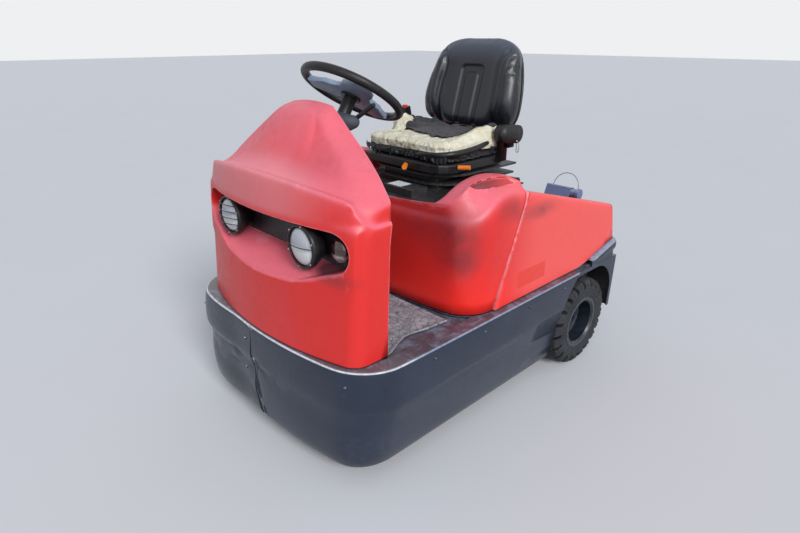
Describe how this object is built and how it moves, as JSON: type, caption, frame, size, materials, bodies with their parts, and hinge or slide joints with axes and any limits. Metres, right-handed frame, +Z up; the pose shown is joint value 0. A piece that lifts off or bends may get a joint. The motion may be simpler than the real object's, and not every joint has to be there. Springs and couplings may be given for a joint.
{
  "type": "airport baggage tug",
  "caption": "Electric tow tractor with a driver's seat, a steered front wheel, driven rear wheels, red mouldings, a wrap-round steel skirt and a rear tow coupling.",
  "frame": {"origin": "centre of the footprint, on the ground", "axes": "+Z up, the nose points to -Y, the driver's left hand is on +X"},
  "size_m": [1.06, 1.745, 1.4201],
  "materials": {
    "skirt_steel": "satin grey-blue paint",
    "mat_rubber": "worn mottled rubber",
    "frame_steel": "black paint",
    "bare_steel": "worn bright steel",
    "battery_case": "satin paint",
    "red_cover": "faded red moulding",
    "black_plastic": "matt black",
    "lamp_glass": "clear ribbed glass",
    "indicator_lens": "amber and clear lens",
    "seat_fabric": "torn cover over cream foam",
    "seat_vinyl": "black vinyl",
    "orange_plastic": "orange handle",
    "rim_steel": "dark slate with worn edges",
    "tyre_rubber": "dusty black rubber"
  },
  "bodies": {
    "chassis": {"skirt": "skirt_steel", "floor_plate": "skirt_steel", "floor_mat": "mat_rubber", "main_frame": "frame_steel", "head_plate": "frame_steel", "hinge_frame": "frame_steel", "fender_left": "skirt_steel", "fender_right": "skirt_steel", "rear_bumper": "skirt_steel", "tow_coupling": "frame_steel", "battery": "battery_case", "rear_axle": "frame_steel", "front_cowl": "red_cover", "lamp_panel": "black_plastic", "headlamp_housings": "black_plastic", "headlamp_lenses": "lamp_glass", "lamp_guards": "frame_steel", "indicators": "indicator_lens", "inner_console": "black_plastic", "dash_pod": "black_plastic", "direction_lever": "black_plastic", "steering_column": "black_plastic", "pedals": "frame_steel", "rear_cover": "red_cover", "rear_lamp": "skirt_steel"},
    "steer_fork": {"front_fork": "frame_steel"},
    "front_wheel": {"front_rim": "rim_steel", "front_tyre": "tyre_rubber"},
    "rear_wheel_left": {"rear_rim_left": "rim_steel", "rear_tyre_left": "tyre_rubber"},
    "rear_wheel_right": {"rear_rim_right": "rim_steel", "rear_tyre_right": "tyre_rubber"},
    "hand_wheel": {"steering_wheel": "black_plastic"},
    "seat_and_hood": {"seat_hood": "red_cover", "seat_plate": "frame_steel", "seat_suspension": "frame_steel", "seat_pan": "black_plastic", "seat_cushion": "seat_fabric", "seat_back_shell": "black_plastic", "seat_back_pad": "seat_vinyl", "seat_levers": "orange_plastic", "belt_reel": "black_plastic", "belt_buckle": "black_plastic"},
    "tow_pin": {"tow_pin": "bare_steel"}
  },
  "joints": [
    {"name": "steer", "type": "hinge", "parent": "chassis", "child": "steer_fork", "pos_m": [0, -0.5875, 0.44], "axis": [0, 0, 1], "range_deg": [-80, 80]},
    {"name": "front_wheel_spin", "type": "hinge", "parent": "steer_fork", "child": "front_wheel", "pos_m": [0, -0.5875, 0.205], "axis": [1, 0, 0], "continuous": true},
    {"name": "rear_wheel_left_spin", "type": "hinge", "parent": "chassis", "child": "rear_wheel_left", "pos_m": [0.468, 0.4825, 0.205], "axis": [1, 0, 0], "continuous": true},
    {"name": "rear_wheel_right_spin", "type": "hinge", "parent": "chassis", "child": "rear_wheel_right", "pos_m": [-0.468, 0.4825, 0.205], "axis": [1, 0, 0], "continuous": true},
    {"name": "hand_wheel_turn", "type": "hinge", "parent": "chassis", "child": "hand_wheel", "pos_m": [0, -0.3985, 1.234], "axis": [0, 0.5299, 0.848], "range_deg": [-720, 720]},
    {"name": "seat_hood_lift", "type": "hinge", "parent": "chassis", "child": "seat_and_hood", "pos_m": [0, 0.2745, 0.853], "axis": [-1, 0, 0], "range_deg": [0, 24]},
    {"name": "tow_pin_pull", "type": "slide", "parent": "chassis", "child": "tow_pin", "axis": [0, 0, 1], "range_m": [0, 0.145]}
  ],
  "couplings": [
    {"joint": "hand_wheel_turn", "follows": "steer", "ratio": 9}
  ]
}
